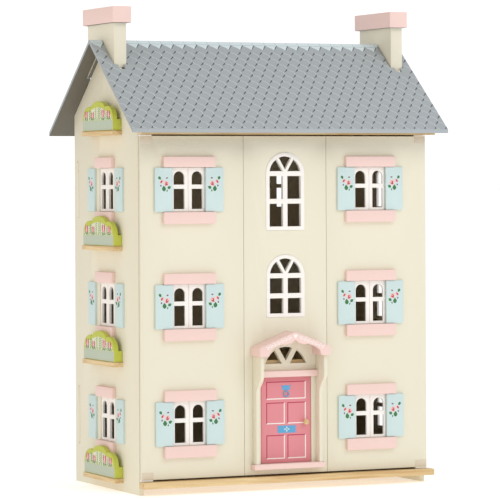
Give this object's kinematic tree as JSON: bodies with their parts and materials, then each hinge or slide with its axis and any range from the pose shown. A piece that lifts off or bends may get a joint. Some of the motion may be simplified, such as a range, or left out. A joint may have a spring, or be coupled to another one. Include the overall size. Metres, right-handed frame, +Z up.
{
  "type": "dollhouse",
  "caption": "Tall wooden dolls' house with a folding hinged front, lifting front roof slope, opening door, casements and shutters, chimneys and flower boxes.",
  "frame": {"origin": "centre of the bounding box's underside, on the table under the house", "axes": "+Z up, -Y out of the front with the door, +X to the right of the front as seen from outside"},
  "size_m": [0.6628, 0.433, 0.9223],
  "materials": {
    "cream_paint": "satin cream paint on birch plywood",
    "bare_wood": "clear-finished birch plywood and solid wood",
    "roof_paint": "satin blue-grey paint with a printed fish-scale tile pattern",
    "porch_pink": "satin pale pink paint",
    "door_pink": "satin pink paint",
    "flower_box_paint": "satin lime green and sage paint with printed flowers",
    "white_paint": "satin white paint",
    "shutter_blue": "satin pale blue paint with a printed spray of flowers"
  },
  "bodies": {
    "house": {"wall_left": "cream_paint", "wall_right": "cream_paint", "wall_back": "cream_paint", "base_board": "bare_wood", "floor_first": "bare_wood", "floor_second": "bare_wood", "floor_attic": "bare_wood", "flower_box_ground": "flower_box_paint", "flower_box_first": "flower_box_paint", "flower_box_second": "flower_box_paint", "flower_box_attic": "flower_box_paint", "chimney_left": "cream_paint", "chimney_right": "cream_paint", "roof_rear": "roof_paint"},
    "leaf_left": {"leaf_left": "cream_paint"},
    "leaf_right": {"leaf_right": "cream_paint"},
    "leaf_centre": {"leaf_centre": "cream_paint", "arched_window_upper": "white_paint", "arched_window_lower": "white_paint", "porch_canopy": "porch_pink", "porch_surround": "cream_paint"},
    "front_door": {"front_door": "door_pink", "door_knob": "bare_wood"},
    "roof_front": {"roof_front": "roof_paint"},
    "casement_front_left_ground_left": {"casement_front_left_ground_left": "white_paint"},
    "shutter_front_left_ground_left": {"shutter_front_left_ground_left": "shutter_blue"},
    "casement_front_left_ground_right": {"casement_front_left_ground_right": "white_paint"},
    "shutter_front_left_ground_right": {"shutter_front_left_ground_right": "shutter_blue"},
    "casement_front_left_first_left": {"casement_front_left_first_left": "white_paint"},
    "shutter_front_left_first_left": {"shutter_front_left_first_left": "shutter_blue"},
    "casement_front_left_first_right": {"casement_front_left_first_right": "white_paint"},
    "shutter_front_left_first_right": {"shutter_front_left_first_right": "shutter_blue"},
    "casement_front_left_second_left": {"casement_front_left_second_left": "white_paint"},
    "shutter_front_left_second_left": {"shutter_front_left_second_left": "shutter_blue"},
    "casement_front_left_second_right": {"casement_front_left_second_right": "white_paint"},
    "shutter_front_left_second_right": {"shutter_front_left_second_right": "shutter_blue"},
    "casement_front_right_ground_left": {"casement_front_right_ground_left": "white_paint"},
    "shutter_front_right_ground_left": {"shutter_front_right_ground_left": "shutter_blue"},
    "casement_front_right_ground_right": {"casement_front_right_ground_right": "white_paint"},
    "shutter_front_right_ground_right": {"shutter_front_right_ground_right": "shutter_blue"},
    "casement_front_right_first_left": {"casement_front_right_first_left": "white_paint"},
    "shutter_front_right_first_left": {"shutter_front_right_first_left": "shutter_blue"},
    "casement_front_right_first_right": {"casement_front_right_first_right": "white_paint"},
    "shutter_front_right_first_right": {"shutter_front_right_first_right": "shutter_blue"},
    "casement_front_right_second_left": {"casement_front_right_second_left": "white_paint"},
    "shutter_front_right_second_left": {"shutter_front_right_second_left": "shutter_blue"},
    "casement_front_right_second_right": {"casement_front_right_second_right": "white_paint"},
    "shutter_front_right_second_right": {"shutter_front_right_second_right": "shutter_blue"},
    "casement_left_wall_ground_left": {"casement_left_wall_ground_left": "white_paint"},
    "casement_left_wall_ground_right": {"casement_left_wall_ground_right": "white_paint"},
    "casement_left_wall_first_left": {"casement_left_wall_first_left": "white_paint"},
    "casement_left_wall_first_right": {"casement_left_wall_first_right": "white_paint"},
    "casement_left_wall_second_left": {"casement_left_wall_second_left": "white_paint"},
    "casement_left_wall_second_right": {"casement_left_wall_second_right": "white_paint"},
    "casement_right_wall_ground_left": {"casement_right_wall_ground_left": "white_paint"},
    "casement_right_wall_ground_right": {"casement_right_wall_ground_right": "white_paint"},
    "casement_right_wall_first_left": {"casement_right_wall_first_left": "white_paint"},
    "casement_right_wall_first_right": {"casement_right_wall_first_right": "white_paint"},
    "casement_right_wall_second_left": {"casement_right_wall_second_left": "white_paint"},
    "casement_right_wall_second_right": {"casement_right_wall_second_right": "white_paint"}
  },
  "joints": [
    {"name": "leaf_left_swing", "type": "hinge", "parent": "house", "child": "leaf_left", "pos_m": [-0.2919, -0.163, 0.352], "axis": [0, 0, -1], "range_deg": [0, 90]},
    {"name": "leaf_centre_fold", "type": "hinge", "parent": "leaf_left", "child": "leaf_centre", "pos_m": [-0.0843, -0.1575, 0.352], "axis": [0, 0, 1], "range_deg": [0, 144]},
    {"name": "leaf_right_swing", "type": "hinge", "parent": "house", "child": "leaf_right", "pos_m": [0.3015, -0.163, 0.352], "axis": [0, 0, 1], "range_deg": [0, 105]},
    {"name": "front_door_swing", "type": "hinge", "parent": "leaf_centre", "child": "front_door", "pos_m": [-0.0463, -0.163, 0.132], "axis": [0, 0, -1], "range_deg": [0, 90]},
    {"name": "roof_front_lift", "type": "hinge", "parent": "house", "child": "roof_front", "pos_m": [0, 0, 0.86207], "axis": [-1, 0, 0], "range_deg": [0, 60]},
    {"name": "casement_front_left_ground_left_swing", "type": "hinge", "parent": "leaf_left", "child": "casement_front_left_ground_left", "pos_m": [-0.2319, -0.1635, 0.133], "axis": [0, 0, 1], "range_deg": [0, 90]},
    {"name": "shutter_front_left_ground_left_swing", "type": "hinge", "parent": "leaf_left", "child": "shutter_front_left_ground_left", "pos_m": [-0.23355, -0.17015, 0.133], "axis": [0, 0, 1], "range_deg": [0, 180]},
    {"name": "casement_front_left_ground_right_swing", "type": "hinge", "parent": "leaf_left", "child": "casement_front_left_ground_right", "pos_m": [-0.1639, -0.1635, 0.133], "axis": [0, 0, -1], "range_deg": [0, 90]},
    {"name": "shutter_front_left_ground_right_swing", "type": "hinge", "parent": "leaf_left", "child": "shutter_front_left_ground_right", "pos_m": [-0.16225, -0.17015, 0.133], "axis": [0, 0, -1], "range_deg": [0, 180]},
    {"name": "casement_front_left_first_left_swing", "type": "hinge", "parent": "leaf_left", "child": "casement_front_left_first_left", "pos_m": [-0.2319, -0.1635, 0.353], "axis": [0, 0, 1], "range_deg": [0, 90]},
    {"name": "shutter_front_left_first_left_swing", "type": "hinge", "parent": "leaf_left", "child": "shutter_front_left_first_left", "pos_m": [-0.23355, -0.17015, 0.353], "axis": [0, 0, 1], "range_deg": [0, 180]},
    {"name": "casement_front_left_first_right_swing", "type": "hinge", "parent": "leaf_left", "child": "casement_front_left_first_right", "pos_m": [-0.1639, -0.1635, 0.353], "axis": [0, 0, -1], "range_deg": [0, 90]},
    {"name": "shutter_front_left_first_right_swing", "type": "hinge", "parent": "leaf_left", "child": "shutter_front_left_first_right", "pos_m": [-0.16225, -0.17015, 0.353], "axis": [0, 0, -1], "range_deg": [0, 180]},
    {"name": "casement_front_left_second_left_swing", "type": "hinge", "parent": "leaf_left", "child": "casement_front_left_second_left", "pos_m": [-0.2319, -0.1635, 0.573], "axis": [0, 0, 1], "range_deg": [0, 90]},
    {"name": "shutter_front_left_second_left_swing", "type": "hinge", "parent": "leaf_left", "child": "shutter_front_left_second_left", "pos_m": [-0.23355, -0.17015, 0.573], "axis": [0, 0, 1], "range_deg": [0, 180]},
    {"name": "casement_front_left_second_right_swing", "type": "hinge", "parent": "leaf_left", "child": "casement_front_left_second_right", "pos_m": [-0.1639, -0.1635, 0.573], "axis": [0, 0, -1], "range_deg": [0, 90]},
    {"name": "shutter_front_left_second_right_swing", "type": "hinge", "parent": "leaf_left", "child": "shutter_front_left_second_right", "pos_m": [-0.16225, -0.17015, 0.573], "axis": [0, 0, -1], "range_deg": [0, 180]},
    {"name": "casement_front_right_ground_left_swing", "type": "hinge", "parent": "leaf_right", "child": "casement_front_right_ground_left", "pos_m": [0.1496, -0.1635, 0.133], "axis": [0, 0, 1], "range_deg": [0, 90]},
    {"name": "shutter_front_right_ground_left_swing", "type": "hinge", "parent": "leaf_right", "child": "shutter_front_right_ground_left", "pos_m": [0.14795, -0.17015, 0.133], "axis": [0, 0, 1], "range_deg": [0, 180]},
    {"name": "casement_front_right_ground_right_swing", "type": "hinge", "parent": "leaf_right", "child": "casement_front_right_ground_right", "pos_m": [0.2176, -0.1635, 0.133], "axis": [0, 0, -1], "range_deg": [0, 90]},
    {"name": "shutter_front_right_ground_right_swing", "type": "hinge", "parent": "leaf_right", "child": "shutter_front_right_ground_right", "pos_m": [0.21925, -0.17015, 0.133], "axis": [0, 0, -1], "range_deg": [0, 180]},
    {"name": "casement_front_right_first_left_swing", "type": "hinge", "parent": "leaf_right", "child": "casement_front_right_first_left", "pos_m": [0.1496, -0.1635, 0.353], "axis": [0, 0, 1], "range_deg": [0, 90]},
    {"name": "shutter_front_right_first_left_swing", "type": "hinge", "parent": "leaf_right", "child": "shutter_front_right_first_left", "pos_m": [0.14795, -0.17015, 0.353], "axis": [0, 0, 1], "range_deg": [0, 180]},
    {"name": "casement_front_right_first_right_swing", "type": "hinge", "parent": "leaf_right", "child": "casement_front_right_first_right", "pos_m": [0.2176, -0.1635, 0.353], "axis": [0, 0, -1], "range_deg": [0, 90]},
    {"name": "shutter_front_right_first_right_swing", "type": "hinge", "parent": "leaf_right", "child": "shutter_front_right_first_right", "pos_m": [0.21925, -0.17015, 0.353], "axis": [0, 0, -1], "range_deg": [0, 180]},
    {"name": "casement_front_right_second_left_swing", "type": "hinge", "parent": "leaf_right", "child": "casement_front_right_second_left", "pos_m": [0.1496, -0.1635, 0.573], "axis": [0, 0, 1], "range_deg": [0, 90]},
    {"name": "shutter_front_right_second_left_swing", "type": "hinge", "parent": "leaf_right", "child": "shutter_front_right_second_left", "pos_m": [0.14795, -0.17015, 0.573], "axis": [0, 0, 1], "range_deg": [0, 180]},
    {"name": "casement_front_right_second_right_swing", "type": "hinge", "parent": "leaf_right", "child": "casement_front_right_second_right", "pos_m": [0.2176, -0.1635, 0.573], "axis": [0, 0, -1], "range_deg": [0, 90]},
    {"name": "shutter_front_right_second_right_swing", "type": "hinge", "parent": "leaf_right", "child": "shutter_front_right_second_right", "pos_m": [0.21925, -0.17015, 0.573], "axis": [0, 0, -1], "range_deg": [0, 180]},
    {"name": "casement_left_wall_ground_left_swing", "type": "hinge", "parent": "house", "child": "casement_left_wall_ground_left", "pos_m": [-0.2927, 0.034, 0.133], "axis": [0, 0, 1], "range_deg": [0, 90]},
    {"name": "casement_left_wall_ground_right_swing", "type": "hinge", "parent": "house", "child": "casement_left_wall_ground_right", "pos_m": [-0.2927, -0.034, 0.133], "axis": [0, 0, -1], "range_deg": [0, 90]},
    {"name": "casement_left_wall_first_left_swing", "type": "hinge", "parent": "house", "child": "casement_left_wall_first_left", "pos_m": [-0.2927, 0.034, 0.353], "axis": [0, 0, 1], "range_deg": [0, 90]},
    {"name": "casement_left_wall_first_right_swing", "type": "hinge", "parent": "house", "child": "casement_left_wall_first_right", "pos_m": [-0.2927, -0.034, 0.353], "axis": [0, 0, -1], "range_deg": [0, 90]},
    {"name": "casement_left_wall_second_left_swing", "type": "hinge", "parent": "house", "child": "casement_left_wall_second_left", "pos_m": [-0.2927, 0.034, 0.573], "axis": [0, 0, 1], "range_deg": [0, 90]},
    {"name": "casement_left_wall_second_right_swing", "type": "hinge", "parent": "house", "child": "casement_left_wall_second_right", "pos_m": [-0.2927, -0.034, 0.573], "axis": [0, 0, -1], "range_deg": [0, 90]},
    {"name": "casement_right_wall_ground_left_swing", "type": "hinge", "parent": "house", "child": "casement_right_wall_ground_left", "pos_m": [0.3023, -0.034, 0.133], "axis": [0, 0, 1], "range_deg": [0, 90]},
    {"name": "casement_right_wall_ground_right_swing", "type": "hinge", "parent": "house", "child": "casement_right_wall_ground_right", "pos_m": [0.3023, 0.034, 0.133], "axis": [0, 0, -1], "range_deg": [0, 90]},
    {"name": "casement_right_wall_first_left_swing", "type": "hinge", "parent": "house", "child": "casement_right_wall_first_left", "pos_m": [0.3023, -0.034, 0.353], "axis": [0, 0, 1], "range_deg": [0, 90]},
    {"name": "casement_right_wall_first_right_swing", "type": "hinge", "parent": "house", "child": "casement_right_wall_first_right", "pos_m": [0.3023, 0.034, 0.353], "axis": [0, 0, -1], "range_deg": [0, 90]},
    {"name": "casement_right_wall_second_left_swing", "type": "hinge", "parent": "house", "child": "casement_right_wall_second_left", "pos_m": [0.3023, -0.034, 0.573], "axis": [0, 0, 1], "range_deg": [0, 90]},
    {"name": "casement_right_wall_second_right_swing", "type": "hinge", "parent": "house", "child": "casement_right_wall_second_right", "pos_m": [0.3023, 0.034, 0.573], "axis": [0, 0, -1], "range_deg": [0, 90]}
  ],
  "couplings": [
    {"joint": "leaf_centre_fold", "follows": "leaf_left_swing", "ratio": 1.6}
  ]
}
